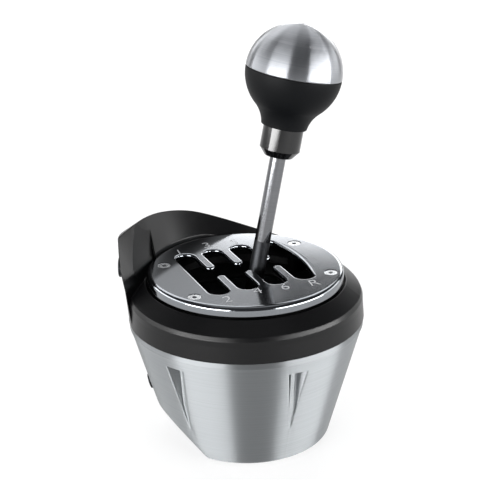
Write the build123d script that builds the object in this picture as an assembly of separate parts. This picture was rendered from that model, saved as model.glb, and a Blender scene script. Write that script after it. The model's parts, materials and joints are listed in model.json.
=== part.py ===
from build123d import *
import os
from math import atan, cos, degrees, radians, sin

# Sim racing gear shifter with a seven-speed and reverse gate.
# Millimetres, +Z up. The origin is the centre of the cup's flat underside.
# +Y points away from the driver, +X to the driver's right.

# Gate plate
plate_top = 103.0
plate_radius = 57.3
plate_web = 2.8
plate_depth = 5.8
plate_rim_round = 2.7
skirt_width = 4.6
slot_width = 11.9
slot_pitch = 17.6
slot_half_length = 32.3
lane_half_width = 6.3
gate_chamfer = 0.8
finger_tip_round = 2.7
gate_centre_y = 2.5
plate_screw_spots = ((41.9, 23.6), (-41.9, 23.6), (-41.9, -27.0), (41.9, -27.0))

# Lever geometry: both tilt axes cross at the pivot
pivot_x = -7.5
pivot_y = gate_centre_y
pivot_z = 24.0
slot_level = plate_top - plate_web / 2
slot_drop = slot_level - pivot_z
third_column_x = slot_pitch / 2
rest_tilt = degrees(atan((third_column_x - pivot_x) / slot_drop))

# Knob and stick, measured along the stick from the pivot
stick_radius = 4.6
sleeve_radius = 4.7
base_rod_radius = 5.0
spigot_radius = 3.3
sleeve_bottom = 71.7
sleeve_top = 95.3
ball_centre = 195.1
ball_radius = 27.6
crown_radius = 14.0
cap_lift = 0.35
knob_neck_radius = 13.2
knob_neck_drop = 31.1
collar_radius = 11.65
collar_top_drop = 31.1
collar_length = 17.4
collar_chamfer_in = 3.3
collar_chamfer_up = 4.2

# Top housing
housing_bottom = 74.5
housing_bottom_radius = 69.0
ridge_height = 89.6
ridge_radius = 67.2
well_radius = 58.5
well_height = 96.2
well_climb = 9.0
seat_inner_radius = 44.8
seat_outer_radius = 52.4
lug_circle = 59.0
lug_angles = (40, 140, 220, 320)
panel_width = 44.0
panel_height = 15.0
panel_face = 73.6

# Metal cup
cup_top_radius = 69.4
cup_bottom_radius = 48.3
lip_radius = 68.6
cup_wall = 3.2
cup_floor = 6.0
lip_height = 4.2
cup_corner = 3.6
pocket_angles = (-60, 3, 66)
pocket_tips = (20.0, 24.0, 22.0)
pocket_top = 64.5
pocket_knee = 38.0
base_ring_radius = 35.4
base_step = 2.5
base_step_radius = 33.5
undercut_bottom_x = -37.4
undercut_angle = 52.0
mount_hole_radius = 2.5
mount_hole_spacing = 50.0
tray_level = 84.0
crest_screw_angle = 66
crest_screw_radius = 72.2
side_screw_angles = (-72, 48)
side_screw_z = 33.0
crest_screw_z = 104.0

fit_gap = 0.05


def polar(radius, angle):
    return (radius * cos(radians(angle)), radius * sin(radians(angle)))


def ring_profile(points):
    """A closed outline in the XZ plane turned a full turn about the Z axis."""
    face = Plane.XZ * make_face(Polyline(*points, close=True))
    return revolve(face, Axis.Z)


def tube(outer, inner, bottom, height):
    body = Pos(0, 0, bottom + height / 2) * Cylinder(outer, height)
    return body - Pos(0, 0, bottom + height / 2) * Cylinder(inner, height + 2)


def disc(radius, bottom, height):
    return Pos(0, 0, bottom + height / 2) * Cylinder(radius, height)


def on_cradle(shape):
    """From pivot coordinates, upright, to the cradle's tilt at rest."""
    return Pos(pivot_x, pivot_y, pivot_z) * Rot(0, rest_tilt, 0) * shape


def at_pivot(shape):
    return Pos(pivot_x, pivot_y, pivot_z) * shape


# Gate plate: a disc with a rounded rim, a short skirt below it and the shift gate through it

def gate_outline():
    columns = [(-1.5 + i) * slot_pitch for i in range(4)]
    outline = Rectangle(3 * slot_pitch, 2 * lane_half_width)
    for x in columns:
        slot = SlotOverall(2 * slot_half_length, slot_width, rotation=90)
        outline += Pos(x, 0) * slot
    tips = []
    for vertex in outline.vertices():
        inner_x = abs(vertex.X) < 1.5 * slot_pitch
        if inner_x and abs(abs(vertex.Y) - lane_half_width) < 0.01:
            tips.append(vertex)
    return fillet(tips, finger_tip_round)


def gate_plate():
    body = disc(plate_radius, plate_top - plate_web, plate_web)
    skirt_height = plate_depth - plate_web
    body += tube(plate_radius, plate_radius - skirt_width, plate_top - plate_depth, skirt_height)
    rim = body.edges().filter_by(GeomType.CIRCLE)
    rim = rim.filter_by(lambda e: abs(e.radius - plate_radius) < 0.01)
    body = fillet(rim.sort_by(Axis.Z)[-1], plate_rim_round)
    cut = extrude(gate_outline(), amount=2 * plate_web)
    body -= Pos(0, gate_centre_y, plate_top - 1.5 * plate_web) * cut
    top = body.faces().filter_by(Axis.Z).sort_by(Axis.Z)[-1]
    body = chamfer(top.inner_wires().edges(), gate_chamfer)
    for x, y in plate_screw_spots:
        sink = Pos(x, y, plate_top - 1.25) * Cone(2.15, 4.2, 2.5)
        body -= sink + Pos(x, y, plate_top - 2) * Cylinder(2.15, 6)
    return body


def plate_screws():
    screws = []
    for x, y in plate_screw_spots:
        head = Pos(0, 0, plate_top - 1.35) * Cone(1.9, 3.85, 2.1)
        shank = disc(1.9, plate_top - 12, 10)
        socket = extrude(RegularPolygon(1.45, 6), amount=1.6)
        screw = head + shank - Pos(0, 0, plate_top - 1.8) * socket
        screws.append(Pos(x, y, 0) * screw)
    return Compound(screws)


# Top housing: a moulded ring whose outer ridge climbs into a crest behind the gate

# Rise of the ridge above the plain ring at an azimuth in degrees from +Y towards +X
crest_knots = ((-110, 37.8), (-60, 36.9), (-50, 35.9), (-40, 35.0), (-30, 33.8), (-18, 31.4), (-8, 28.5), (6, 22.4),
               (18, 16.8), (30, 12.0), (45, 7.6), (60, 4.3), (76, 1.8), (92, 0.4), (104, 0.0), (140, 0.0))
crest_full_rise = 36.0
crest_start = -98.0
crest_end = 124.0
crest_sections = 25
crest_bulge = 6.6


def smooth_step(value):
    value = min(max(value, 0.0), 1.0)
    return value * value * (3 - 2 * value)


def crest_rise(angle):
    """Smooth curve through the knots, each passed with the mean slope of its neighbours."""
    last = len(crest_knots) - 1
    i = max(k for k in range(last) if crest_knots[k][0] <= angle)
    slopes = []
    for k in (i, i + 1):
        before, after = crest_knots[max(k - 1, 0)], crest_knots[min(k + 1, last)]
        slopes.append((after[1] - before[1]) / (after[0] - before[0]))
    (start, low), (end, high) = crest_knots[i], crest_knots[i + 1]
    width = end - start
    t = (angle - start) / width
    bend = t * (1 - t) * ((1 - t) * (slopes[0] * width - high + low) - t * (slopes[1] * width - high + low))
    return max(low + t * (high - low) + bend, 0.0)


def wall_section(angle):
    """Cross-section of the housing wall, with its bore and its foot left long for the trim."""
    rise = crest_rise(angle)
    share = rise / crest_full_rise
    crown = ridge_radius - 1.6 * smooth_step((60 - angle) / 80) * smooth_step(rise / 12)
    crown_z = ridge_height + rise
    shoulder_drop = share * (3.2 - 1.2 * smooth_step((-48 - angle) / 20))
    behind = smooth_step((rise - 8) / 22)
    well_z = well_height + well_climb * behind
    points = [
        (54.0, housing_bottom - 1),
        (54.0, well_z - 1.0),
        (well_radius - 1.5, well_z - 1.0),
        (well_radius - 0.9 * behind, well_z),
        (crown, crown_z),
        (crown + 1.0 + crest_bulge * share, crown_z - 2.4 - shoulder_drop),
        (68.3 + 4.3 * share, 84.0 + 22.0 * share),
        (68.6 + 1.8 * share, 80.0 + 13.0 * share),
        (housing_bottom_radius + 0.1 - 0.4 * share, housing_bottom - 1),
    ]
    plane = Plane((0, 0, 0), x_dir=(sin(radians(angle)), cos(radians(angle)), 0),
                  z_dir=(cos(radians(angle)), -sin(radians(angle)), 0))
    return plane * make_face(Polyline(*points, close=True))


def end_cut(heading, profile, right_edge):
    """Tool that trims the crest's left end to a curved face, level along its heading in degrees from +X."""
    across = Vector(sin(radians(heading)), -cos(radians(heading)), 0)
    along = Vector(cos(radians(heading)), sin(radians(heading)), 0)
    side = Plane((0, 0, 0), x_dir=across, z_dir=-along)
    curve = Spline(*profile)
    (first_x, first_z), (last_x, last_z) = profile[0], profile[-1]
    rest = Polyline((last_x, last_z), (last_x + 60, last_z), (last_x + 60, first_z), (first_x, first_z))
    tool = extrude(side * make_face([curve, rest]), amount=200, both=True)
    return tool & (Pos(right_edge - 100, 0, 100) * Box(200, 200, 200))


def crest_wall():
    """The wall from the crest's left end round the back to where it meets the plain ring."""
    step = (crest_end - crest_start) / (crest_sections - 1)
    wall = loft([wall_section(crest_start + i * step) for i in range(crest_sections)])
    ramp = [(-66.0, 131), (-63.2, 120), (-60.0, 107), (-57.3, 99.5), (-53.5, 94.4), (-48.0, 90.8), (-40.0, 88.0)]
    flank = [(-61.5, 131), (-57.0, 120), (-51.9, 107), (-48.6, 99), (-45.6, 92), (-43.0, 86), (-40.0, 79),
             (-38.0, 73)]
    wall -= end_cut(43.0, ramp, -42.0)
    return wall - end_cut(29.0, flank, -50.0)


def plain_ring():
    """The ring's plain part, turned from the crest's right end round the front to below its left end."""
    turn = 360 - crest_end - 62
    return revolve(wall_section(crest_end), -Axis.Z, turn)


def top_housing():
    body = plain_ring() + crest_wall()
    body -= disc(well_radius - 1.2, housing_bottom - 10, 80) + tube(100, 50, housing_bottom - 10, 10)
    seat = ring_profile([(seat_inner_radius, 93.5), (seat_inner_radius, plate_top - plate_web),
                         (seat_outer_radius, plate_top - plate_web), (seat_outer_radius, 95.2),
                         (well_radius, 95.2), (well_radius + 0.8, 93.5)])
    body += seat
    body -= ring_profile([(0, housing_bottom - 2), (66.2, housing_bottom - 2), (66.2, 78), (63.5, 84.5),
                          (54.3, 93.5), (0, 93.5)])
    for x, y in plate_screw_spots:
        body += Pos(x, y, 91) * Cylinder(4.2, 10)
        body -= Pos(x, y, 93) * Cylinder(1.95, 20)
    for angle in lug_angles:
        x, y = polar(lug_circle, angle)
        body += Pos(x, y, (housing_bottom + 89) / 2) * Cylinder(4.0, 89 - housing_bottom)
        body -= Pos(x, y, housing_bottom) * Cylinder(1.65, 18)
    return body


# Metal cup: a tapered shell with a lip, three wedge pockets and a flat undercut at the left

def cup_radius(z):
    return cup_bottom_radius + (cup_top_radius - cup_bottom_radius) * z / housing_bottom


def undercut(inset):
    """Half-space below the sloping flat at the left foot of the cup."""
    edge_x = undercut_bottom_x + inset / sin(radians(undercut_angle))
    return Pos(edge_x, 0, 0) * Rot(0, 90 - undercut_angle, 0) * (Pos(-40, 0, -40) * Box(120, 160, 80))


def pocket_section(z, floor_radius, floor_half, open_half):
    """Level section of a pocket at the front: its walls spread from the floor to past the cup's surface."""
    surface = cup_radius(z)
    beyond = surface + 6.0
    spread = floor_half + (open_half - floor_half) * (beyond - floor_radius) / (surface - floor_radius)
    outline = Polyline((-floor_half, -floor_radius), (floor_half, -floor_radius), (spread, -beyond),
                       (-spread, -beyond), close=True)
    return Pos(0, 0, z) * make_face(outline)


def pocket(angle, tip, widen):
    """A wedge pocket that narrows downwards, angle in degrees from -Y towards +X."""
    top = pocket_section(pocket_top + widen, cup_radius(pocket_top) - 6.5 - widen, 1.6 + widen, 5.8 + widen)
    knee = pocket_section(pocket_knee, cup_radius(pocket_knee) - 1.6 - widen, 2.0 + widen, 2.5 + widen)
    foot = pocket_section(tip - widen, cup_radius(tip) - 0.05 - widen, 0.1 + widen, 0.12 + widen)
    return Rot(0, 0, angle) * loft([top, knee, foot], ruled=True)


def side_screw_place(angle):
    """Where a screw stands square on the cup's flank, angle in degrees from +Y towards +X."""
    lean = degrees(atan((cup_top_radius - cup_bottom_radius) / housing_bottom))
    return Rot(0, 0, -angle) * Pos(0, cup_radius(side_screw_z), side_screw_z) * Rot(-90 - lean, 0, 0)


def metal_shell():
    top = housing_bottom
    outer = ring_profile([(0, 0), (cup_bottom_radius, 0), (cup_radius(top - lip_height), top - lip_height),
                          (lip_radius, top - lip_height + 0.4), (lip_radius, top), (0, top)])
    foot = outer.edges().filter_by(GeomType.CIRCLE).sort_by(Axis.Z)[0]
    outer = fillet(foot, cup_corner)
    cavity = ring_profile([(0, cup_floor), (cup_radius(cup_floor) - cup_wall, cup_floor),
                           (lip_radius - cup_wall, top - lip_height), (lip_radius - cup_wall, top + 0.01),
                           (0, top + 0.01)])
    cavity -= undercut(cup_wall)
    for angle, tip in zip(pocket_angles, pocket_tips):
        cavity -= pocket(angle, tip, 2.2)
    for angle in lug_angles:
        lug = Box(10, 12, 6) & (Pos(-1, 0, 0) * Cylinder(6.2, 6))
        cavity -= Rot(0, 0, angle) * (Pos(lug_circle + 1, 0, top - 3) * lug)
    body = outer - cavity - undercut(0)
    for angle, tip in zip(pocket_angles, pocket_tips):
        body -= pocket(angle, tip, 0)
    for angle in lug_angles:
        x, y = polar(lug_circle, angle)
        body -= Pos(x, y, top) * Cylinder(1.75, 20)
    for angle in side_screw_angles:
        body -= side_screw_place(angle) * (disc(2.05, -8.0, 10) + disc(4.7, 0, 6))
    return body - disc(base_ring_radius, -1, 1 + base_step) - disc(base_step_radius, 0, 20)


def base_plate():
    """Stepped disc that closes the cup's foot and carries the two mounting threads."""
    plate = disc(base_ring_radius - 0.3, 0, base_step)
    plate += disc(base_step_radius - 0.3, base_step - 0.5, cup_floor - base_step + 0.5)
    for side in (-1, 1):
        plate -= Pos(side * mount_hole_spacing / 2, 0, 0) * Cylinder(mount_hole_radius, 40)
    for x, y in bracket_screw_spots:
        sink = disc(3.75, -1, 1.4) + Pos(0, 0, 1.35) * Cone(3.75, 1.65, 2.1) + disc(1.65, -1, 20)
        plate -= Pos(x, y, 0) * sink
    return plate


def housing_screws():
    screws = []
    for angle in lug_angles:
        x, y = polar(lug_circle, angle)
        screws.append(Pos(x, y, 0) * (disc(3.0, housing_bottom - 8, 2) + disc(1.6, housing_bottom - 6.2, 13)))
    return Compound(screws)


# Knob and stick, built upright on the pivot and then tilted

def knob_profile_body():
    start = Vector(ball_radius, 0, 0)
    low = 20.2
    mid_radius = (ball_radius ** 2 - low ** 2) ** 0.5
    sphere_arc = ThreePointArc(start, Vector(ball_radius * cos(radians(22)), -ball_radius * sin(radians(22)), 0),
                               Vector(mid_radius, -low, 0))
    flare = Spline((mid_radius, -low), (knob_neck_radius, -knob_neck_drop),
                   tangents=((-low / mid_radius, -1), (-0.12, -1)))
    return sphere_arc, flare


def knob_body():
    arc, flare = knob_profile_body()
    bottom = Line((knob_neck_radius, -knob_neck_drop), (9.0, -knob_neck_drop))
    bore = Polyline((9.0, -knob_neck_drop), (9.0, -8.0), (18.0, 0), (ball_radius, 0))
    face = Plane.XZ * make_face([arc, flare, bottom, bore])
    return on_cradle(Pos(0, 0, ball_centre) * revolve(face, Axis.Z))


def knob_core():
    core = ring_profile([(spigot_radius + 1.0, -collar_top_drop), (8.95, -collar_top_drop), (8.95, -8.0),
                         (17.9, 0), (27.0, 0), (27.0, cap_lift), (crown_radius, cap_lift), (crown_radius, 11),
                         (0, 11), (0, 4), (spigot_radius + 1.0, 4)])
    return on_cradle(Pos(0, 0, ball_centre) * core)


def knob_cap():
    arc = CenterArc((0, 0), ball_radius, 0, 90)
    socket = crown_radius + 0.3
    inside = Polyline((0, ball_radius), (0, 12), (socket, 12), (socket, 0), (ball_radius, 0))
    cap = revolve(Plane.XZ * make_face([arc, inside]), Axis.Z)
    return on_cradle(Pos(0, 0, ball_centre + cap_lift) * cap)


def knob_collar():
    low = -collar_top_drop - collar_length
    collar = ring_profile([(stick_radius + fit_gap, low), (collar_radius - collar_chamfer_in, low),
                           (collar_radius, low + collar_chamfer_up), (collar_radius, -collar_top_drop - 0.05),
                           (stick_radius + fit_gap, -collar_top_drop - 0.05)])
    return on_cradle(Pos(0, 0, ball_centre) * collar)


def gear_stick():
    shoulder = ball_centre - collar_top_drop
    rod = disc(stick_radius, sleeve_top, shoulder - sleeve_top)
    rod += disc(spigot_radius, sleeve_bottom - 16, sleeve_top - sleeve_bottom + 16)
    rod += disc(spigot_radius + 0.95, shoulder, 33)
    return on_cradle(rod)


def stick_sleeve():
    sleeve = tube(sleeve_radius, spigot_radius + fit_gap, sleeve_bottom, sleeve_top - sleeve_bottom - 0.05)
    return on_cradle(sleeve)


def stick_base():
    rod = disc(base_rod_radius, 9.0, sleeve_bottom - 9.05)
    rod -= disc(spigot_radius + fit_gap, sleeve_bottom - 17, 20)
    return on_cradle(rod)


# Shift mechanism: a cradle tilts left and right in the bracket, the lever rocks fore and aft in it

cradle_half_x = 16.0
cradle_half_y = 21.0
cradle_wall = 3.5
cradle_half_height = 6.0
pin_radius = 4.0
bush_radius = 6.0
bracket_upright_y = 28.0
bracket_upright_thick = 4.0
bracket_half_width = 12.0
bracket_floor = 3.0
hub_half_x = 9.0
hub_half_y = 8.5


def lever_hub():
    hub = Pos(0, 0, 1) * Box(2 * hub_half_x, 2 * hub_half_y, 16)
    hub = chamfer(hub.edges().filter_by(Axis.X), 2.5)
    hub += disc(8.0, 8.0, 10)
    hub -= disc(base_rod_radius + fit_gap, 8.95, 12)
    hub -= Rot(0, 90, 0) * Cylinder(pin_radius + 0.02, 40)
    return on_cradle(hub)


def shift_shaft():
    shaft = Rot(0, 90, 0) * Cylinder(pin_radius, 2 * cradle_half_x + 3)
    return on_cradle(shaft)


def shift_bushes():
    bushes = []
    for side in (-1, 1):
        bush = Rot(0, 90, 0) * (Cylinder(bush_radius, cradle_wall) - Cylinder(pin_radius + 0.04, 10))
        bushes.append(on_cradle(Pos(side * (cradle_half_x - cradle_wall / 2), 0, 0) * bush))
    return Compound(bushes)


def select_cradle():
    frame = Box(2 * cradle_half_x, 2 * cradle_half_y, 2 * cradle_half_height)
    frame -= Box(2 * (cradle_half_x - cradle_wall), 2 * (cradle_half_y - cradle_wall), 40)
    for side in (-1, 1):
        frame += Pos(side * (cradle_half_x - cradle_wall / 2), 0, 0) * Rot(0, 90, 0) * Cylinder(8.5, cradle_wall)
    frame -= Rot(0, 90, 0) * Cylinder(bush_radius, 80)
    frame -= Rot(90, 0, 0) * Cylinder(pin_radius + 0.02, 80)
    return on_cradle(frame)


def select_pins():
    pins = []
    for side in (-1, 1):
        inner_end = cradle_half_y - cradle_wall - 1.5
        outer_end = bracket_upright_y + bracket_upright_thick / 2 + 2.5
        pin = Cylinder(pin_radius, outer_end - inner_end)
        pin += Pos(0, 0, (inner_end - outer_end) / 2 + 0.7) * Cylinder(pin_radius + 1.6, 1.4)
        pin = Rot(-90 * side, 0, 0) * pin
        pins.append(on_cradle(Pos(0, side * (outer_end + inner_end) / 2, 0) * pin))
    return Compound(pins)


def select_bushes():
    bushes = []
    for side in (-1, 1):
        bush = Rot(90, 0, 0) * (Cylinder(bush_radius, bracket_upright_thick) - Cylinder(pin_radius + 0.04, 20))
        bushes.append(at_pivot(Pos(0, side * bracket_upright_y, 0) * bush))
    return Compound(bushes)


def mechanism_bracket():
    base = disc(41.0, cup_floor, bracket_floor) - Pos(-62, 0, 0) * Box(52, 120, 60)
    for side in (-1, 1):
        low = cup_floor + bracket_floor - 0.5
        height = pivot_z - low
        upright = Pos(pivot_x, pivot_y + side * bracket_upright_y, low + height / 2) * Box(
            2 * bracket_half_width, bracket_upright_thick, height)
        crown = at_pivot(Pos(0, side * bracket_upright_y, 0) * Rot(90, 0, 0) * Cylinder(
            bracket_half_width, bracket_upright_thick))
        base += upright + crown
        base -= at_pivot(Pos(0, side * bracket_upright_y, 0) * Rot(90, 0, 0) * Cylinder(bush_radius, 10))
        base -= Pos(side * mount_hole_spacing / 2, 0, 0) * Cylinder(mount_hole_radius + 1.5, 40)
    for x, y in bracket_screw_spots:
        base -= Pos(x, y, 0) * Cylinder(1.65, 40)
    return base


bracket_screw_spots = ((21, 18), (21, -18), (-22, 17), (-22, -17))


def bracket_screws():
    screws = []
    for x, y in bracket_screw_spots:
        screw = disc(1.6, 0.4, 12) + Pos(0, 0, 1.4) * Cone(3.6, 1.6, 2.0)
        socket = Pos(0, 0, 0.4) * extrude(RegularPolygon(1.3, 6), amount=1.2)
        screws.append(Pos(x, y, 0) * (screw - socket))
    return Compound(screws)


def select_springs(side):
    """Torsion spring sleeve round one cradle pin, drawn as a plain closed form."""
    inner_end = cradle_half_y + 0.3
    outer_end = bracket_upright_y - bracket_upright_thick / 2 - 0.05
    middle = (inner_end + outer_end) / 2
    spring = Rot(90, 0, 0) * (Cylinder(7.6, outer_end - inner_end) - Cylinder(5.9, 20))
    return at_pivot(Pos(0, side * middle, 0) * spring)


def shift_cam():
    cam = Cylinder(12.5, 2.6) - Cylinder(pin_radius + 0.02, 10)
    for angle in (-15.5, 0, 15.5):
        x, y = polar(13.0, 90 + angle)
        cam -= Pos(x, y, 0) * Cylinder(1.5, 10)
    cam = cam & (Pos(0, 6, 0) * Box(16, 24, 10))
    return on_cradle(Pos(hub_half_x + 1.35, 0, 0) * (Plane.YZ * cam))


def detent_housing():
    block = Pos(13.4, 0, 21.0) * Box(9.0, 11.0, 15.0)
    block += Pos(14.25, 0, 10.0) * Box(cradle_wall, 11.0, 8.0)
    block -= Pos(hub_half_x + 1.35, 0, 18.75) * Cylinder(1.7 + fit_gap, 11.5)
    block -= Rot(0, 90, 0) * Cylinder(8.5, 60)
    return on_cradle(block)


def detent_plunger():
    x = hub_half_x + 1.35
    plunger = disc(1.7, 14.4, 5.0) + Pos(0, 0, 14.4) * Sphere(1.7)
    return on_cradle(Pos(x, 0, 0) * plunger)


def detent_spring():
    x = hub_half_x + 1.35
    return on_cradle(Pos(x, 0, 0) * tube(1.6, 1.0, 19.4, 5.0))


def dust_cap():
    """Round shield carried by the stick, part of a sphere about the pivot."""
    shell = Sphere(58.0) - Sphere(56.4)
    keep = Pos(0, 0, 60) * Cylinder(22.0, 40)
    cap = shell & keep
    cap += disc(7.5, 54.5, 6.0)
    cap -= disc(base_rod_radius + fit_gap, 40, 40)
    return on_cradle(cap)


def dust_tray():
    """Fixed black floor under the gate, hung from the housing, with a way through for the stick."""
    tray = tube(54.2, 52.8, tray_level, 93.5 - tray_level) + disc(53.5, tray_level, 1.4)
    opening = extrude(fillet(Rectangle(60, 54).vertices(), 14), amount=20)
    tray -= Pos(-1.5, gate_centre_y, tray_level - 10) * opening
    for x, y in plate_screw_spots:
        tray -= Pos(x, y, tray_level + 11.6) * Cylinder(4.7, 20)
    return tray


def main_board():
    board = Pos(0, 41.8, 48) * Box(44, 1.6, 24)
    chips = Pos(-6, 40.2, 45) * Box(9, 1.8, 9) + Pos(8, 40.4, 42) * Box(6, 1.4, 6)
    return board + chips


def board_bracket():
    legs = Pos(-18, 39.5, 32) * Box(4, 3, 52) + Pos(18, 39.5, 32) * Box(4, 3, 52)
    return legs + Pos(0, 39.5, 56) * Box(40, 3, 4)


def socket_panel():
    """Flat-faced block let into the housing's back wall, bored for the two sockets."""
    panel = Pos(0, panel_face - 5, 84) * Box(panel_width, 10, panel_height)
    panel = chamfer(panel.faces().sort_by(Axis.Y)[-1].edges(), 0.8)
    panel -= Pos(-12.0, panel_face, 84) * (Rot(90, 0, 0) * Cylinder(5.65, 40))
    return panel - Pos(11.0, panel_face, 84) * Box(8.5, 40, 4.7)


def din_socket():
    barrel = Rot(90, 0, 0) * Cylinder(5.6, 9.0)
    recess = Rot(90, 0, 0) * (Cylinder(4.8, 3) - Cylinder(3.9, 3))
    body = barrel - Pos(0, 3.5, 0) * recess
    for angle in (-55, -20, 20, 55, 200, 340):
        x, z = polar(2.4, angle + 90)
        body -= Pos(x, 3.6, z) * Rot(90, 0, 0) * Cylinder(0.45, 3)
    return Pos(-12.0, panel_face - 4.8, 84.0) * body


def usb_socket():
    body = Box(8.4, 9.0, 4.6)
    body -= Pos(0, 3.5, 0) * (Box(7.0, 6.0, 3.2) - Pos(0, 0, 0.3) * Box(4.6, 6.0, 1.0))
    return Pos(11.0, panel_face - 4.8, 84.0) * body


def select_magnet():
    end = bracket_upright_y + bracket_upright_thick / 2 + 2.5
    magnet = Rot(90, 0, 0) * Cylinder(3.0, 1.6)
    return on_cradle(Pos(0, end + 0.85, 0) * magnet)


def select_sensor_board():
    end = bracket_upright_y + bracket_upright_thick / 2 + 2.5
    face = bracket_upright_y + bracket_upright_thick / 2
    board = Pos(0, end + 3.6, 0) * Box(15, 1.2, 22)
    board += Pos(0, end + 2.5, 0) * Box(4, 1.0, 4)
    for side in (-1, 1):
        board += Pos(side * 5.5, (face + end + 3.2) / 2, 8.5) * Rot(90, 0, 0) * Cylinder(1.4, end + 3.2 - face)
    return at_pivot(board)


def shift_magnet():
    magnet = Rot(0, 90, 0) * Cylinder(2.8, 1.4)
    return on_cradle(Pos(-cradle_half_x - 2.25, 0, 0) * magnet)


def shift_sensor_board():
    board = Pos(-cradle_half_x - 4.6, 0, 0) * Box(1.2, 13, 12)
    arm = Pos(-cradle_half_x - 2.0, 5.5, 0) * Box(4.0, 2.0, 6)
    return on_cradle(board + arm)


def shell_screws():
    head = Pos(0, 0, 0.6) * Cylinder(4.6, 1.2)
    head = fillet(head.edges().sort_by(Axis.Z)[-1], 0.7)
    head -= Pos(0, 0, 0.4) * extrude(RegularPolygon(1.5, 6), amount=2)
    screw = head + disc(2.0, -6.0, 6.1)
    return Compound([side_screw_place(angle) * screw for angle in side_screw_angles])


def crest_screw_place():
    return Rot(0, 0, crest_screw_angle) * Pos(0, crest_screw_radius, crest_screw_z) * Rot(-90, 0, 0)


def crest_screw():
    head = Pos(0, 0, 0.8) * Cylinder(6.0, 1.6)
    head = fillet(head.edges().sort_by(Axis.Z)[-1], 0.9)
    head -= Pos(0, 0, 0.6) * extrude(RegularPolygon(2.3, 6), amount=2)
    return crest_screw_place() * (head + disc(2.5, -5.0, 5.1))


def write(name, shape):
    shape.label = name
    export_step(shape, "parts/" + name + ".step")


def cut_housing(housing):
    """The back panel's opening and the crest screw's seat."""
    housing -= Pos(0, panel_face - 5, 84) * Box(panel_width, 10, panel_height)
    return housing - crest_screw_place() * (disc(2.55, -6.0, 7) + disc(6.1, 0, 12))


def build():
    nodes = {
        "metal_shell": metal_shell(),
        "base_plate": base_plate(),
        "top_housing": cut_housing(top_housing()),
        "housing_screws": housing_screws(),
        "socket_panel": socket_panel(),
        "gate_plate": gate_plate(),
        "plate_screws": plate_screws(),
        "mechanism_bracket": mechanism_bracket(),
        "bracket_screws": bracket_screws(),
        "select_bushes": select_bushes(),
        "select_spring_front": select_springs(-1),
        "select_spring_rear": select_springs(1),
        "select_sensor_board": select_sensor_board(),
        "dust_tray": dust_tray(),
        "main_board": main_board(),
        "board_bracket": board_bracket(),
        "din_socket": din_socket(),
        "usb_socket": usb_socket(),
        "shell_screws": shell_screws(),
        "crest_screw": crest_screw(),
        "select_cradle": select_cradle(),
        "select_pins": select_pins(),
        "select_magnet": select_magnet(),
        "shift_bushes": shift_bushes(),
        "detent_housing": detent_housing(),
        "detent_plunger": detent_plunger(),
        "detent_spring": detent_spring(),
        "shift_sensor_board": shift_sensor_board(),
        "lever_hub": lever_hub(),
        "shift_shaft": shift_shaft(),
        "shift_cam": shift_cam(),
        "shift_magnet": shift_magnet(),
        "stick_base": stick_base(),
        "dust_cap": dust_cap(),
        "stick_sleeve": stick_sleeve(),
        "gear_stick": gear_stick(),
        "knob_collar": knob_collar(),
        "knob_core": knob_core(),
        "knob_body": knob_body(),
        "knob_cap": knob_cap(),
    }
    os.makedirs("parts", exist_ok=True)
    for name, shape in nodes.items():
        write(name, shape)


build()
print("pieces written, rest tilt", round(rest_tilt, 3))
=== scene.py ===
import json
import math

import bmesh
import bpy
import numpy as np
from mathutils import Matrix, Vector, geometry


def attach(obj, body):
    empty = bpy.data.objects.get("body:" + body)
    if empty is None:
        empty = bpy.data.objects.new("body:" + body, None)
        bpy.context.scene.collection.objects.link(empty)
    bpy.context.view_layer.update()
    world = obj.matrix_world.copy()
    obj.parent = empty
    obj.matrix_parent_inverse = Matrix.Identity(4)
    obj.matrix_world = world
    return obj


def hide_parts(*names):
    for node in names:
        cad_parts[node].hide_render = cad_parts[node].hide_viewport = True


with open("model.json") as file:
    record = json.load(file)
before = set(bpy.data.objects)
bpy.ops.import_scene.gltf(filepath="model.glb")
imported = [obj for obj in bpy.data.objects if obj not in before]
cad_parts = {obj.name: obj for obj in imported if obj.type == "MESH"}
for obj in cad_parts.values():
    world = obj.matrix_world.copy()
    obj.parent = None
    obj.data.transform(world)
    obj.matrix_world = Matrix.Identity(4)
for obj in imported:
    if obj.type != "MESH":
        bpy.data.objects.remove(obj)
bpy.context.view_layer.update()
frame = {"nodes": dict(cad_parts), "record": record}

mm = 0.001
print("frame loaded,", len(frame["nodes"]), "nodes")


# colour and node helpers

def linear(hexColour):   # sRGB hex to the linear values that a socket takes
    parts = [int(hexColour[i:i + 2], 16) / 255 for i in (1, 3, 5)]
    return tuple([c / 12.92 if c <= 0.04045 else ((c + 0.055) / 1.055) ** 2.4 for c in parts] + [1.0])


def addNode(tree, kind, settings=None, values=None, links=None):
    node = tree.nodes.new(kind)
    for key, value in (settings or {}).items():
        setattr(node, key, value)
    for key, value in (values or {}).items():
        node.inputs[key].default_value = value
    for key, socket in (links or {}).items():
        tree.links.new(socket, node.inputs[key])
    return node


def newMaterial(name, values):
    material = bpy.data.materials.new(name)
    material.use_nodes = True
    tree = material.node_tree
    shader = tree.nodes["Principled BSDF"]
    for key, value in values.items():
        shader.inputs[key].default_value = value
    return material, tree, shader


def millimetres(tree, turn=(0, 0, 0), origin=(0, 0, 0), stretch=(1, 1, 1)):
    # object coordinates about origin, turned by turn and given in millimetres divided by stretch
    place = addNode(tree, "ShaderNodeTexCoord")
    moved = addNode(tree, "ShaderNodeMapping", {"vector_type": "TEXTURE"},
                    {"Location": origin, "Rotation": [math.radians(a) for a in turn]},
                    {"Vector": place.outputs["Object"]})
    scaled = addNode(tree, "ShaderNodeMapping", None, {"Scale": [1000 / s for s in stretch]},
                     {"Vector": moved.outputs["Vector"]})
    return scaled.outputs["Vector"]


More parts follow.
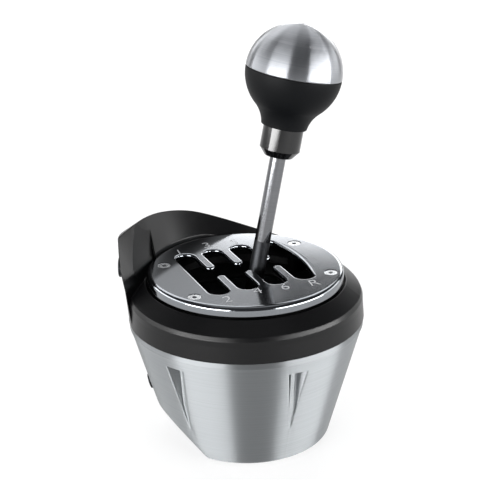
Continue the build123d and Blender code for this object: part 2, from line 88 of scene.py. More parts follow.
def aroundAxis(tree, vector, radius, alongStretch):
    # wraps the pattern round the local Z axis: X is the arc length at that radius, Y the height
    split = addNode(tree, "ShaderNodeSeparateXYZ", None, None, {"Vector": vector})
    angle = addNode(tree, "ShaderNodeMath", {"operation": "ARCTAN2"}, None,
                    {0: split.outputs["Y"], 1: split.outputs["X"]})
    arc = addNode(tree, "ShaderNodeMath", {"operation": "MULTIPLY"}, {1: radius / alongStretch},
                  {0: angle.outputs[0]})
    joined = addNode(tree, "ShaderNodeCombineXYZ", None, None, {"X": arc.outputs[0], "Y": split.outputs["Z"]})
    return joined.outputs["Vector"]


def grindLines(tree, shader, pivot, axis):
    # the fine lines run round the axis: their direction at a point is the axis crossed with the way out to it
    place = addNode(tree, "ShaderNodeTexCoord")
    way = addNode(tree, "ShaderNodeVectorMath", {"operation": "SUBTRACT"}, {1: pivot},
                  {0: place.outputs["Object"]})
    around = addNode(tree, "ShaderNodeVectorMath", {"operation": "CROSS_PRODUCT"}, {0: axis},
                     {1: way.outputs["Vector"]})
    tree.links.new(around.outputs["Vector"], shader.inputs["Tangent"])


noiseRange = (0.3, 0.7)   # nearly all of a noise's values lie in it


def dress(tree, shader, vector, look):
    # one noise, with cells about look["grain"] millimetres across, carries the colour, the roughness and the
    # relief; look["depth"] is the relief's height and look["edge"] the radius to which edges look worn
    noise = addNode(tree, "ShaderNodeTexNoise", None,
                    {"Scale": 1 / look["grain"], "Detail": look["detail"], "Roughness": 0.55}, {"Vector": vector})
    pattern = noise.outputs["Fac"]
    ramp = addNode(tree, "ShaderNodeValToRGB", None, None, {"Fac": pattern})
    for stop, place, colour in zip(ramp.color_ramp.elements, noiseRange, (look["dark"], look["light"])):
        stop.position, stop.color = place, linear(colour)
    tree.links.new(ramp.outputs["Color"], shader.inputs["Base Color"])
    if "rough" in look:
        gloss = addNode(tree, "ShaderNodeMapRange", None,
                        {"From Min": noiseRange[0], "From Max": noiseRange[1],
                         "To Min": look["rough"][0], "To Max": look["rough"][1]}, {"Value": pattern})
        tree.links.new(gloss.outputs["Result"], shader.inputs["Roughness"])
    bump = addNode(tree, "ShaderNodeBump", None, {"Distance": look["depth"] * mm, "Strength": look["strength"]},
                   {"Height": pattern})
    if "edge" in look:
        worn = addNode(tree, "ShaderNodeBevel", {"samples": 6}, {"Radius": look["edge"] * mm})
        tree.links.new(worn.outputs["Normal"], bump.inputs["Normal"])
    tree.links.new(bump.outputs["Normal"], shader.inputs["Normal"])


# stick frame: the stick leans right in its third gate column

stick = {"pivot": (-7.5, 2.5, 24.0), "lean": 11.863}


# materials: real grain and grinding lines are a tenth of a millimetre or less, and are drawn coarser here so that
# they show in the render

def turnedMetal(name, look, lean=0.0, pivot=(0, 0, 0)):
    # metal turned about an axis that leans right: lines round it, true to size at look["radius"], which stretch
    # every light across them where look["drawn"] is 1, as a quarter turn lays the highlight square to the lines
    material, tree, shader = newMaterial(name, {
        "Metallic": 1.0, "Anisotropic": look["drawn"], "Anisotropic Rotation": 0.25})
    foot = [c * mm for c in pivot]
    grindLines(tree, shader, foot, (math.sin(math.radians(lean)), 0, math.cos(math.radians(lean))))
    upright = millimetres(tree, (0, lean, 0), foot)
    dress(tree, shader, aroundAxis(tree, upright, look["radius"], look["length"]), look)
    return material


def turnedSteel():
    # stainless steel, drawn and turned: fine lines round the cup stretch every light into an upright streak
    look = {"dark": "#8E9193", "light": "#979A9C", "rough": (0.45, 0.48), "depth": 0.0003, "strength": 1.0,
            "grain": 0.6, "detail": 4, "length": 200, "radius": 58, "drawn": 1.0}
    return turnedMetal("turnedStainlessSteel", look)


def satinAluminium():
    # aluminium sheet, satin brushed one way and clear anodised: a soft sheen with faint parallel lines
    look = {"dark": "#7E8185", "light": "#888B8F", "rough": (0.10, 0.13), "depth": 0.0002, "strength": 1.0,
            "grain": 0.5, "detail": 4, "length": 90, "lineTurn": 20}
    material, tree, shader = newMaterial("satinBrushedAluminium", {"Metallic": 1.0})
    along = millimetres(tree, (0, 0, look["lineTurn"]), stretch=(look["length"], 1, 1))
    dress(tree, shader, along, look)
    return material


def grainedMaterial(name, values, look):
    # even grain in every direction
    material, tree, shader = newMaterial(name, values)
    dress(tree, shader, millimetres(tree), look)
    return material


def grainedAbs():
    # ABS moulded against an etched tool: matt black with a fine leather-like grain
    return grainedMaterial("grainedBlackAbs", {"IOR": 1.53, "Specular IOR Level": 0.2}, {
        "dark": "#050506", "light": "#09090A", "rough": (0.3, 0.36), "depth": 0.02, "strength": 0.6,
        "grain": 0.7, "detail": 2, "edge": 0.8})


def softRubber():
    # injection moulded soft-touch rubber: deep black, dull, with a faint bloom
    return grainedMaterial("softTouchRubber", {"IOR": 1.5, "Specular IOR Level": 0.08}, {
        "dark": "#060708", "light": "#0B0C0E", "rough": (0.46, 0.56), "depth": 0.01, "strength": 0.5,
        "grain": 0.35, "detail": 2})


def laserMark():
    # laser marked aluminium: the beam leaves a dull pale oxide that scatters the light
    return grainedMaterial("laserMarkedAluminium", {"Metallic": 0.2, "Roughness": 0.6}, {
        "dark": "#A6A8AB", "light": "#BFC1C4", "depth": 0.01, "strength": 0.5, "grain": 0.3, "detail": 2})


def plainPlastic(name, dark, light, rough, grain, depth):
    # plastic moulded against a plain tool: one colour with a nearly even gloss
    return grainedMaterial(name, {"IOR": 1.5}, {
        "dark": dark, "light": light, "rough": (rough * 0.9, rough * 1.1), "depth": depth, "strength": 0.5,
        "grain": grain, "detail": 2})


def castMetal(name, dark, light, rough, grain, depth):
    # metal that is cast, pressed, plated or ground: no direction in its grain, a gloss that varies a little
    return grainedMaterial(name, {"Metallic": 1.0}, {
        "dark": dark, "light": light, "rough": (rough * 0.8, rough * 1.25), "depth": depth, "strength": 0.5,
        "grain": grain, "detail": 3})


def stickMetal(name, dark, light, rough, grain, length, depth, drawn=0.0):
    # metal turned about the stick's axis: faint rings round it
    look = {"dark": dark, "light": light, "rough": (rough * 0.85, rough * 1.2), "depth": depth, "strength": 1.0,
            "grain": grain, "detail": 3, "length": length, "radius": 6, "drawn": drawn}
    return turnedMetal(name, look, stick["lean"], stick["pivot"])


finishes = {
    "brushed_metal": turnedSteel(),
    "satin_aluminium": satinAluminium(),
    "black_abs": grainedAbs(),
    "soft_rubber": softRubber(),
    # moulded nylon: dull and slightly uneven
    "black_nylon": plainPlastic("mattBlackNylon", "#101112", "#1A1B1C", 0.55, 0.8, 0.03),
    "knob_core_nylon": plainPlastic("knobCoreNylon", "#121213", "#1B1B1C", 0.5, 0.8, 0.02),
    # moulded socket bodies: smoother, with a dull shine
    "socket_black": plainPlastic("mouldedSocketPlastic", "#0C0C0D", "#141415", 0.4, 0.5, 0.01),
    # polished moulding: clear reflections on black
    "gloss_black": plainPlastic("glossBlackPlastic", "#050506", "#0A0A0B", 0.12, 0.6, 0.002),
    # solder mask over glass fibre board: green with a wet shine
    "circuit_board": plainPlastic("greenSolderMask", "#0B3A1E", "#14512B", 0.35, 1.6, 0.02),
    # turned and satin polished aluminium: streaks that run up to the crown's top
    "knob_metal": stickMetal("turnedKnobAluminium", "#909296", "#9B9DA1", 0.33, 0.5, 90, 0.0003, 1.0),
    # chromium over ground steel: nearly a mirror, a little darker than what it shows
    "chrome_rod": stickMetal("chromePlatedSteel", "#6C6D6F", "#76777A", 0.14, 0.5, 40, 0.0003),
    # turned steel under black oxide: a dark, dull sheen
    "dark_sleeve": stickMetal("blackOxideSteel", "#2B2C2E", "#3A3B3D", 0.38, 0.35, 12, 0.004),
    # forged screws under black oxide: black with a soft shine on the edges
    "black_screw": castMetal("blackOxideScrewSteel", "#1C1D1F", "#2B2C2E", 0.36, 0.5, 0.005),
    # zinc plate: pale, with cloudy patches on sheet
    "screw_steel": castMetal("zincPlatedScrewSteel", "#9A9C9F", "#C2C4C6", 0.25, 0.5, 0.005),
    "zinc_steel": castMetal("zincPlatedSheetSteel", "#8F9194", "#B0B2B4", 0.35, 2.0, 0.01),
    # zinc as it leaves the die: grey and matt
    "zinc_alloy": castMetal("dieCastZinc", "#7E8083", "#9C9EA0", 0.45, 0.9, 0.03),
    # pressed and sintered powder: brown, dull and finely pitted
    "bronze": castMetal("sinteredBronze", "#7D5A30", "#A37B48", 0.4, 0.4, 0.02),
    # steels: drawn and oiled, ground bright, and hardened to a dark grey
    "spring_steel": castMetal("oiledSpringSteel", "#4A4B4D", "#68696B", 0.3, 0.6, 0.01),
    "ground_steel": castMetal("groundSteel", "#A9ABAE", "#C6C8CA", 0.18, 0.4, 0.003),
    "hardened_steel": castMetal("hardenedSteel", "#595C60", "#74777A", 0.28, 0.7, 0.005),
    # nickel plate: warm and bright
    "magnet": castMetal("nickelPlatedMagnet", "#ABABAA", "#C9C8C5", 0.16, 0.8, 0.002),
    "socket_metal": castMetal("nickelPlatedSocket", "#A6A5A2", "#C4C3BF", 0.22, 0.7, 0.003),
}

slots = {row["node"]: row["material_slot"] for row in frame["record"]["subparts"]}
for nodeName, node in frame["nodes"].items():
    node.data.materials.clear()
    node.data.materials.append(finishes[slots[nodeName]])
print("materials on every node")


# surfaces worked out as whole arrays: rows by columns by 3, in millimetres

def gridFaces(rows, columns, first=0, closedRows=False, inward=False):
    # neighbours in the grid become quads; columns always close on themselves, rows only where asked
    index = first + np.arange(rows * columns).reshape(rows, columns)
    below = index if closedRows else index[:-1]
    above = np.roll(index, -1, 0) if closedRows else index[1:]
    quads = np.stack([below, np.roll(below, -1, 1), np.roll(above, -1, 1), above], -1).reshape(-1, 4)
    return (quads[:, ::-1] if inward else quads).tolist()


creaseAngle = 38   # degrees, past which an edge shades as sharp


def newPiece(name, points, faces, finish, body, replaced):
    # one smooth object at the origin that rides on its body and stands for the node it replaces
    mesh = bpy.data.meshes.new(name)
    mesh.from_pydata((points.reshape(-1, 3) * mm).tolist(), [], faces)
    shape = bmesh.new()
    shape.from_mesh(mesh)
    bmesh.ops.remove_doubles(shape, verts=shape.verts, dist=1e-6)   # closes poles and joins the parts
    shape.to_mesh(mesh)
    shape.free()
    mesh.polygons.foreach_set("use_smooth", np.ones(len(mesh.polygons), bool))
    mesh.set_sharp_from_angle(angle=math.radians(creaseAngle))
    mesh.materials.append(finishes[finish])
    piece = bpy.data.objects.new(name, mesh)
    bpy.context.scene.collection.objects.link(piece)
    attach(piece, body)
    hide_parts(replaced)
    return piece


def gridPiece(name, points, finish, body, replaced, closedRows=True):
    faces = gridFaces(points.shape[0], points.shape[1], 0, closedRows)
    return newPiece(name, points, faces, finish, body, replaced)


def softLess(a, b, width):
    # the lesser of two heights, with their meeting edge rounded over about width: half of their sum less the root
    # of their squared difference and the squared width
    return 0.5 * (a + b - np.sqrt((a - b) ** 2 + width ** 2))


def softMore(a, b, width):   # the greater of two heights, by the same formula with the root added
    return 0.5 * (a + b + np.sqrt((a - b) ** 2 + width ** 2))


# metal cup

cup = {
    "bottomRadius": 48.3, "topRadius": 69.4, "height": 74.5, "corner": 3.6, "wall": 3.2, "floor": 6.0,
    "ring": 35.4, "innerRing": 33.5, "ringStep": 2.5, "lipHeight": 4.2, "lipRadius": 68.6,
    # azimuth from the front towards the right and height of the lower tip
    "pockets": [(-60, 20.0), (3, 24.0), (66, 22.0)], "pocketTop": 64.5, "pocketKnee": 38.0, "beyond": 8,
    # values beyond the tip, at the tip, at the knee, at the top and beyond it
    "floorHalf": (0.2, 0.2, 2.0, 1.6, 1.6), "openHalf": (0.5, 0.5, 2.5, 5.8, 6.8),
    "depth": (-1.2, 0.05, 1.6, 6.5, 7.0), "edge": 0.55, "roofSteep": 7.0,
    # pocket widths are taken at the cup's radius near their tops, and fine columns end at this margin past them
    "arcScale": 1.08, "margin": 1.2, "columnStep": 1.6,
    "undercutX": -37.4, "undercutAngle": 52.0, "undercutEdge": 0.9,
    # rows below the pockets' top, above the lip's foot and below the rim, with the lip's share at each
    "roofRows": (-0.8, -0.4, -0.2, 0, 0.1, 0.2, 0.35, 0.5, 0.65, 0.8, 0.95, 1.1, 1.4),
    "lipRows": (0.12, 0.26, 0.4, 1.2), "rimRows": (0.45, 0.2, 0.06, 0),
    "lipShare": (0.25, 0.75, 1, 1, 1, 0.93, 0.72, 0.3), "innerSkip": 9,
}


def cupSurface(c):
    # a point stands at radius times (sin, -cos) of its azimuth; radius is the cone's, or less where a pocket's
    # floor, side walls and roof or the sloping flat at the left foot lie inside it, each edge slightly rounded
    slope = (c["topRadius"] - c["bottomRadius"]) / c["height"]
    lean = math.atan(slope)
    corner, top, lip = c["corner"], c["height"], c["height"] - c["lipHeight"]
    centre = c["bottomRadius"] + slope * corner - corner / math.cos(lean)
    sweep = np.linspace(-math.pi / 2, -lean, 9)
    flat = np.linspace(c["ring"], centre, 6)[:-1]
    roofZ = c["pocketTop"] - np.array(c["roofRows"])
    start = corner - corner * math.sin(lean)
    wallZ = np.unique(np.concatenate([np.linspace(start, roofZ.min() - 0.5, 92)[1:], roofZ,
                                      np.linspace(roofZ.max() + 0.6, lip, 7)]))
    lipZ = np.concatenate([lip + np.array(c["lipRows"]), top - np.array(c["rimRows"])])
    coneAtLip = c["bottomRadius"] + slope * lip
    rowZ = np.concatenate([0 * flat, corner + corner * np.sin(sweep), wallZ, lipZ])
    rowRadius = np.concatenate([flat, centre + corner * np.cos(sweep), c["bottomRadius"] + slope * wallZ,
                                coneAtLip + (c["lipRadius"] - coneAtLip) * np.array(c["lipShare"])])
    z, cone = rowZ[:, None], rowRadius[:, None]

    # columns across a pocket: 0 to 1 is its floor, 1 to 2 its side wall, and 2 to 2.5 the margin
    share = np.concatenate([np.linspace(0, 0.85, 4), np.linspace(1, 1.9, 8), np.linspace(1.96, 2.3, 8), [2.5]])
    share = np.concatenate([-share[:0:-1], share])[None, :]
    across = np.abs(share)
    azimuths, radii = [], []
    for i, (spot, tip) in enumerate(c["pockets"]):
        knots = [tip - c["beyond"], tip, c["pocketKnee"], c["pocketTop"], c["pocketTop"] + c["beyond"]]
        floorHalf, openHalf, depth = (np.interp(z, knots, c[key]) for key in ("floorHalf", "openHalf", "depth"))
        offset = np.where(across < 1, across * floorHalf,
                          np.where(across < 2, floorHalf + (across - 1) * (openHalf - floorHalf),
                                   openHalf + (across - 2) * (2 * c["margin"])))
        sides = cone - depth * (openHalf - offset) / (openHalf - floorHalf)
        hollow = softMore(cone - depth, sides, c["edge"])
        roof = cone - (c["pocketTop"] - z) * c["roofSteep"]
        hollow = softMore(hollow, roof + 0 * hollow, c["edge"])
        azimuths.append(spot + np.degrees(np.sign(share) * offset / c["topRadius"] * c["arcScale"]))
        radii.append(softLess(cone, hollow, c["edge"]))
        nextSpot = c["pockets"][i + 1][0] if i < 2 else c["pockets"][0][0] + 360
        margin = np.degrees((openHalf + c["margin"]) / c["topRadius"] * c["arcScale"])
        steps = np.linspace(0, 1, int((nextSpot - spot) / c["columnStep"]))[1:-1][None, :]
        first, last = spot + margin, nextSpot - margin
        azimuths.append(first + (last - first) * steps)
        radii.append(cone + 0 * steps)
    azimuth, radius = np.radians(np.concatenate(azimuths, 1)), np.concatenate(radii, 1)

    leftward = np.maximum(-np.sin(azimuth), 0.02)   # the flat meets the cup on its left side only
    plane = (-c["undercutX"] + z / math.tan(math.radians(c["undercutAngle"]))) / leftward
    cut = softLess(radius, plane, c["undercutEdge"])
    radius = np.where((z < lip) & (cone > c["ring"] + 0.5), cut, radius)

    # down the inside, over the floor and round the step of the base plate's seat
    inner = np.arange(len(flat) + len(sweep), len(rowZ) - len(lipZ))[::-c["innerSkip"]]
    inner = inner[rowZ[inner] > c["floor"] + 1]
    ring = np.ones((1, radius.shape[1]))
    foot = radius[len(flat) + len(sweep)][None, :] - c["wall"]
    radius = np.concatenate([radius, ring * (c["lipRadius"] - c["wall"]), radius[inner] - c["wall"], foot,
                             ring * c["innerRing"], ring * c["innerRing"], ring * c["ring"]])
    height = np.concatenate([z + 0 * azimuth, ring * top, (z + 0 * azimuth)[inner], ring * c["floor"],
                             ring * c["floor"], ring * c["ringStep"], ring * c["ringStep"]])
    azimuth = np.concatenate([azimuth, azimuth[-1:], azimuth[inner], np.repeat(azimuth[:1], 4, 0)])
    return np.stack([radius * np.sin(azimuth), -radius * np.cos(azimuth), height], -1)


gridPiece("metalCup", cupSurface(cup), "brushed_metal", "root", "metal_shell")
print("metal cup made")


# knob: rubber grip below, metal crown above

knob = {
    "centre": 195.1, "radius": 27.6, "low": 20.2, "neckRadius": 13.2, "neckDrop": 31.1, "neckFlare": 0.12,
    "edge": 0.35, "boreRadius": 9.0, "boreTop": -8.0, "shelf": 18.0,
    "crownLift": 0.35, "socketRadius": 14.3, "socketTop": 12.0, "columns": 144,
}


def turnedOnStick(profile, columns):
    # profile of radius and height carried round the stick's axis, whose foot is the pivot and which leans right
    turn = np.linspace(0, 2 * math.pi, columns, endpoint=False)[None, :]
    x, y = profile[:, :1] * np.sin(turn), -profile[:, :1] * np.cos(turn)
    z = profile[:, 1:] + knob["centre"] + 0 * turn
    lean = math.radians(stick["lean"])
    leaned = np.stack([x * math.cos(lean) + z * math.sin(lean), y, z * math.cos(lean) - x * math.sin(lean)], -1)
    return leaned + np.array(stick["pivot"])


def edgeRound(corner, radius, start, end):   # quarter circle about a corner's inner centre, angles in degrees
    a = np.radians(np.linspace(start, end, 5))
    return np.stack([corner[0] + radius * np.cos(a), corner[1] + radius * np.sin(a)], -1)


def gripProfile(k):
    # circle below the equator, then a cubic whose ends follow the circle and the neck
    e, r, low = k["edge"], k["radius"], k["low"]
    join = math.sqrt(r ** 2 - low ** 2)
    t = np.linspace(0, 1, 28)[:, None]
    first, last = np.array([join, -low]), np.array([k["neckRadius"], -k["neckDrop"]])
    chord = np.linalg.norm(last - first)
    leave = np.array([-low, -join]) / r * chord
    arrive = np.array([-k["neckFlare"], -1.0]) / math.hypot(k["neckFlare"], 1) * chord
    flare = ((2 * t ** 3 - 3 * t ** 2 + 1) * first + (t ** 3 - 2 * t ** 2 + t) * leave
             + (3 * t ** 2 - 2 * t ** 3) * last + (t ** 3 - t ** 2) * arrive)
    a = np.linspace(-math.asin(low / r), -e / r * 1.2, 40)   # ends a little short of the rounded rim
    ball = np.stack([r * np.cos(a), r * np.sin(a)], -1)
    foot = edgeRound((k["neckRadius"] - e, -k["neckDrop"] + e), e, -90, 0)
    lower = flare[::-1][flare[::-1][:, 1] > -k["neckDrop"] + e]
    rim = edgeRound((r - e - 0.01, -e), e, 0, 90)
    inside = np.array([[k["shelf"], 0], [k["boreRadius"], k["boreTop"]], [k["boreRadius"], -k["neckDrop"]]])
    return np.concatenate([foot, lower, ball[1:], rim, inside])


def crownProfile(k):
    # half circle above the equator with a rounded lower edge, flat underneath, with a socket for the core
    e, r, lift = k["edge"], k["radius"], k["crownLift"]
    a = np.linspace(e / r * 1.3, math.pi / 2, 64)
    ball = np.stack([r * np.cos(a), lift + r * np.sin(a)], -1)
    ball[-1, 0] = 0
    under = np.array([[0, lift + k["socketTop"]], [k["socketRadius"], lift + k["socketTop"]],
                      [k["socketRadius"], lift]])
    return np.concatenate([under, edgeRound((r - e - 0.01, lift + e), e, -90, 0), ball])


grip, crown = (turnedOnStick(profile, knob["columns"]) for profile in (gripProfile(knob), crownProfile(knob)))
gridPiece("knobGrip", grip, "soft_rubber", "lever", "knob_body")
gridPiece("knobCrown", crown, "knob_metal", "lever", "knob_cap", False)
print("knob made")


# gate plate

plate = {
    "radius": 57.3, "top": 103.0, "under": 100.2, "rimFoot": 97.2, "skirtRadius": 52.7, "rimRound": 2.7,
    "pitch": 17.6, "slotWidth": 11.9, "slotHalf": 32.3, "laneHalf": 6.3, "centreY": 2.5, "tipRound": 2.7,
    # the polished edge of the gate, wider along the right-hand wall, which bows outwards
    "edgeWidth": 1.2, "edgeDrop": 1.5, "rightEdge": 1.3, "rightBow": 3.2, "rightFade": 2.5,
    "screws": [(41.9, 23.6), (-41.9, 23.6), (-41.9, -27.0), (41.9, -27.0)],
    "sinkRadius": 4.2, "sinkDepth": 2.5, "holeRadius": 2.15, "footRound": 0.3, "columns": 180,
}


def arcRow(centre, radius, start, end, count):   # points of a circle at even steps of angle, in degrees
    a = np.radians(np.linspace(start, end, count))
    return np.stack([centre[0] + radius * np.cos(a), centre[1] + radius * np.sin(a)], -1)


def gateLoop(p):
    # closed outline of the gate, anticlockwise: half circles at the slots' ends, rounded finger tips between
    # them, and a right-hand wall whose distance grows as one minus the square of its share of the way
    half, end, tip = p["slotWidth"] / 2, p["slotHalf"] - p["slotWidth"] / 2, p["tipRound"]
    columns = [p["pitch"] * k for k in (1.5, 0.5, -0.5, -1.5)]
    finger = p["pitch"] / 2 - half
    parts = []
    for i, x in enumerate(columns):
        parts.append(arcRow((x, end), half, 0, 180, 25))
        if i < 3:
            middle, level = x - p["pitch"] / 2, p["laneHalf"] + tip
            parts += [arcRow((middle + finger - tip, level), tip, 0, -90, 9),
                      arcRow((middle - finger + tip, level), tip, -90, -180, 9)]
    parts.append(np.stack([np.full(9, columns[3] - half), np.linspace(end, -end, 11)[1:-1]], -1))
    for i, x in enumerate(columns[::-1]):
        parts.append(arcRow((x, -end), half, 180, 360, 25))
        if i < 3:
            middle, level = x + p["pitch"] / 2, -p["laneHalf"] - tip
            parts += [arcRow((middle - finger + tip, level), tip, 180, 90, 9),
                      arcRow((middle + finger - tip, level), tip, 90, 0, 9)]
    y = np.linspace(-end, end, 31)[1:-1]
    bow = 1 - (y / end) ** 2
    parts.append(np.stack([columns[0] + half + p["rightBow"] * bow, y], -1))
    loop = np.concatenate(parts)
    width = p["edgeWidth"] + np.zeros(len(loop))
    width[-len(y):] += p["rightEdge"] * np.clip(p["rightFade"] * bow, 0, 1)
    return loop + np.array([0, p["centreY"]]), width


def capFaces(loops, level, upwards):
    # flat face between the first loop and the holes that the others leave in it
    flat = [np.concatenate([loop, np.full((len(loop), 1), level)], 1) for loop in loops]
    triangles = np.array(geometry.tessellate_polygon([[Vector(v) for v in loop.tolist()] for loop in flat]))
    points = np.concatenate(flat)
    corner = points[triangles]
    side = np.cross(corner[:, 1] - corner[:, 0], corner[:, 2] - corner[:, 0])[:, 2]
    wrong = (side > 0) != upwards
    triangles[wrong] = triangles[wrong][:, ::-1]
    return points, triangles[np.abs(side) > 1e-9]


def ringGrid(profile, centre, columns):   # profile of radius and height turned about an upright line
    a = np.linspace(0, 2 * math.pi, columns, endpoint=False)[None, :]
    radius, z = profile[:, :1], profile[:, 1:] + 0 * a
    return np.stack([centre[0] + radius * np.sin(a), centre[1] - radius * np.cos(a), z], -1)


def buildPlate(p):
    # the gate's wall rises from the outline and rolls outwards over a quarter ellipse onto the flat top; the rim,
    # the skirt and the screws' countersinks are profiles turned about upright lines; flat faces close the rest
    loop, width = gateLoop(p)
    way = np.roll(loop, -1, 0) - np.roll(loop, 1, 0)
    outward = np.stack([way[:, 1], -way[:, 0]], -1) / np.linalg.norm(way, axis=1, keepdims=True)
    a = np.radians(np.linspace(0, 90, 8))
    reach = np.concatenate([[0], 1 - np.cos(a)])[:, None] * width[None, :]
    reach = np.concatenate([reach, reach[-1:] + 0.12])   # a narrow flat strip, so that the edge shades cleanly
    level = np.concatenate([[p["under"]], p["top"] - p["edgeDrop"] * (1 - np.sin(a)), [p["top"]]])
    flat = loop[None] + reach[:, :, None] * outward[None]
    wall = np.concatenate([flat, np.broadcast_to(level[:, None, None], reach.shape + (1,))], -1)

    r, e, foot, low = p["radius"], p["rimRound"], p["rimFoot"], p["footRound"]
    skirt = [[p["skirtRadius"], p["under"]], [p["skirtRadius"], foot], [r - low, foot], [r, foot + low]]
    rim = np.concatenate([skirt, arcRow((r - e, p["top"] - e), e, 0, 90, 14), [[r - e - 0.15, p["top"]]]])
    rimGrid = ringGrid(rim, (0, 0), p["columns"])
    sink = np.array([[p["holeRadius"], p["under"]], [p["holeRadius"], p["top"] - p["sinkDepth"]],
                     [p["sinkRadius"], p["top"]]])
    sinks = [ringGrid(sink, spot, 32) for spot in p["screws"]]

    grids = [(rimGrid, False), (wall, True)] + [(grid, True) for grid in sinks]
    points, faces, count = [], [], 0
    for grid, inward in grids:
        points.append(grid.reshape(-1, 3))
        faces += gridFaces(grid.shape[0], grid.shape[1], count, False, inward)
        count += grid.shape[0] * grid.shape[1]
    for row, z, upwards in ((-1, p["top"], True), (0, p["under"], False)):
        loops = [rimGrid[row, :, :2], wall[row, :, :2]] + [grid[row, :, :2] for grid in sinks]
        capPoints, triangles = capFaces(loops, z, upwards)
        points.append(capPoints)
        faces += (triangles + count).tolist()
        count += len(capPoints)
    newPiece("gatePlate", np.concatenate(points), faces, "satin_aluminium", "root", "gate_plate")


buildPlate(plate)
print("gate plate made")


# gear numbers marked on the plate

numbers = {
    # fontShare is the part of the font's size that a numeral's height takes
    "height": 8.0, "fontShare": 0.7, "level": 103.0, "thick": 0.02, "slant": 0.12, "thin": -0.16,
    "spots": {"1": (-27.3, 38.9), "3": (-8.3, 42.5), "5": (8.8, 40.0), "7": (25.1, 37.0),
              "2": (-27.0, -38.1), "4": (-7.3, -34.2), "6": (8.9, -35.5), "R": (26.1, -37.2)},
}


def gearNumber(text, spot):
    curve = bpy.data.curves.new("gearNumber" + text, "FONT")
    curve.body, curve.align_x, curve.align_y = text, "CENTER", "CENTER"
    curve.size, curve.extrude = numbers["height"] / numbers["fontShare"], numbers["thick"]
    curve.shear, curve.offset = numbers["slant"], numbers["thin"]
    holder = bpy.data.objects.new("gearNumber" + text, curve)
    bpy.context.scene.collection.objects.link(holder)
    flat = holder.evaluated_get(bpy.context.evaluated_depsgraph_get())
    mesh = bpy.data.meshes.new_from_object(flat)
    bpy.data.objects.remove(holder)
    points = np.empty(len(mesh.vertices) * 3, np.float32)
    mesh.vertices.foreach_get("co", points)
    points = points.reshape(-1, 3) + np.array([spot[0], spot[1], numbers["level"]])
    mesh.vertices.foreach_set("co", (points * mm).astype(np.float32).ravel())
    mesh.update()
    mesh.materials.clear()
    mesh.materials.append(markMaterial)
    piece = bpy.data.objects.new("gearNumber" + text, mesh)
    bpy.context.scene.collection.objects.link(piece)
    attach(piece, "root")
    return piece


markMaterial = laserMark()
for text, spot in numbers["spots"].items():
    gearNumber(text, spot)
print("gear numbers made")


# floor, lamps and camera

studio = {
    "floorColour": "#989898", "floorGlow": 0.68, "floorSize": 16.0,
    "worldColour": "#8A8C90", "worldStrength": 0.35, "aim": (0, 0, 0.1),
    # azimuth from the camera's own direction, elevation, distance and size in metres, radiance of the panel
    "panels": {
        "leftPanel": {"azimuth": -44, "elevation": 8, "distance": 1.3, "size": (1.25, 0.32), "radiance": 21.0},
        "rightPanel": {"azimuth": 63, "elevation": 8, "distance": 1.3, "size": (1.5, 0.32), "radiance": 18.0},
        "leftFill": {"azimuth": -98, "elevation": 12, "distance": 1.4, "size": (1.35, 0.45), "radiance": 4.5},
        "rightFill": {"azimuth": 112, "elevation": 12, "distance": 1.4, "size": (1.0, 0.45), "radiance": 2.8},
        "rearPanel": {"azimuth": 166, "elevation": 13.9, "distance": 1.6, "size": (0.9, 0.42), "radiance": 4.7},
        "rearFill": {"azimuth": 190, "elevation": 28, "distance": 1.6, "size": (0.62, 0.4), "radiance": 0.75},
        "leftRearPanel": {"azimuth": 207, "elevation": 20, "distance": 1.6, "size": (0.5, 0.6), "radiance": 2.8},
        "backPanel": {"azimuth": 184, "elevation": 46, "distance": 2.0, "size": (2.4, 1.0), "radiance": 2.6},
        "topPanel": {"azimuth": 180, "elevation": 86, "distance": 1.5, "size": (1.3, 1.0), "radiance": 0.45},
    },
}

view = {
    "azimuth": -22.07, "elevation": 21.34, "roll": -1.12, "place": (-280.4, -684.0, 409.1),
    "lens": 103.12, "sensor": 36.0, "clip": (0.05, 20.0),
}


def direction(azimuth, elevation):   # from the object towards a thing at that bearing, 0 being the front
    a, e = math.radians(azimuth), math.radians(elevation)
    return Vector((math.sin(a) * math.cos(e), -math.cos(a) * math.cos(e), math.sin(e)))


def softPanel(name, setting):
    lamp = bpy.data.lights.new(name, "AREA")
    lamp.shape = "RECTANGLE"
    lamp.size, lamp.size_y = setting["size"]
    lamp.energy = setting["radiance"] * math.pi * setting["size"][0] * setting["size"][1]
    thing = bpy.data.objects.new(name, lamp)
    bpy.context.scene.collection.objects.link(thing)
    back = direction(view["azimuth"] + setting["azimuth"], setting["elevation"])
    thing.location = Vector(studio["aim"]) + back * setting["distance"]
    thing.rotation_mode = "QUATERNION"
    thing.rotation_quaternion = back.to_track_quat("Z", "Y")
    return thing


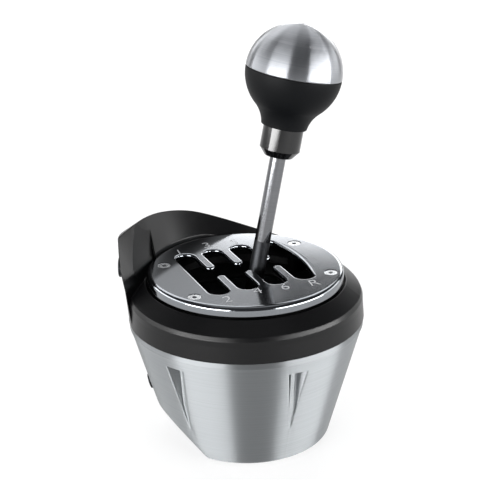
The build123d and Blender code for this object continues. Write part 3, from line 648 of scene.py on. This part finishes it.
def buildStudio():
    half = studio["floorSize"] / 2
    mesh = bpy.data.meshes.new("studioFloor")
    corners = [(-half, -half, 0), (half, -half, 0), (half, half, 0), (-half, half, 0)]
    mesh.from_pydata(corners, [], [(0, 1, 2, 3)])
    floor = bpy.data.objects.new("studioFloor", mesh)
    bpy.context.scene.collection.objects.link(floor)
    # painted backdrop: it shows white to the camera and in metal, on top of the light that falls on it
    material, tree, shader = newMaterial("paleStudioFloor", {
        "Base Color": linear(studio["floorColour"]), "Roughness": 0.9, "Specular IOR Level": 0.1,
        "Emission Color": (1, 1, 1, 1)})
    path = addNode(tree, "ShaderNodeLightPath")
    seen = addNode(tree, "ShaderNodeMath", {"operation": "ADD"}, None,
                   {0: path.outputs["Is Camera Ray"], 1: path.outputs["Is Glossy Ray"]})
    seen = addNode(tree, "ShaderNodeMath", {"operation": "ADD", "use_clamp": True}, None,
                   {0: seen.outputs[0], 1: path.outputs["Is Transmission Ray"]})
    glow = addNode(tree, "ShaderNodeMath", {"operation": "MULTIPLY"}, {1: studio["floorGlow"]},
                   {0: seen.outputs[0]})
    tree.links.new(glow.outputs[0], shader.inputs["Emission Strength"])
    mesh.materials.append(material)
    for name, setting in studio["panels"].items():
        softPanel(name, setting)
    world = bpy.data.worlds.new("studioWorld")
    world.use_nodes = True
    background = world.node_tree.nodes["Background"]
    background.inputs["Color"].default_value = linear(studio["worldColour"])
    background.inputs["Strength"].default_value = studio["worldStrength"]
    bpy.context.scene.world = world


def buildCamera():
    a, e, roll = (math.radians(view[key]) for key in ("azimuth", "elevation", "roll"))
    look = Vector((-math.sin(a) * math.cos(e), math.cos(a) * math.cos(e), -math.sin(e)))
    right = Vector((math.cos(a), math.sin(a), 0))
    up = right.cross(look)
    turnedRight = math.cos(roll) * right + math.sin(roll) * up
    turnedUp = -math.sin(roll) * right + math.cos(roll) * up
    data = bpy.data.cameras.new("photoCamera")
    data.lens, data.sensor_width = view["lens"], view["sensor"]
    data.clip_start, data.clip_end = view["clip"]
    camera = bpy.data.objects.new("photoCamera", data)
    bpy.context.scene.collection.objects.link(camera)
    camera.matrix_world = Matrix((
        (turnedRight.x, turnedUp.x, -look.x, view["place"][0] * mm),
        (turnedRight.y, turnedUp.y, -look.y, view["place"][1] * mm),
        (turnedRight.z, turnedUp.z, -look.z, view["place"][2] * mm),
        (0, 0, 0, 1)))
    bpy.context.scene.camera = camera


buildStudio()
buildCamera()
bpy.context.scene.view_settings.view_transform = "Standard"
print("studio and camera ready")
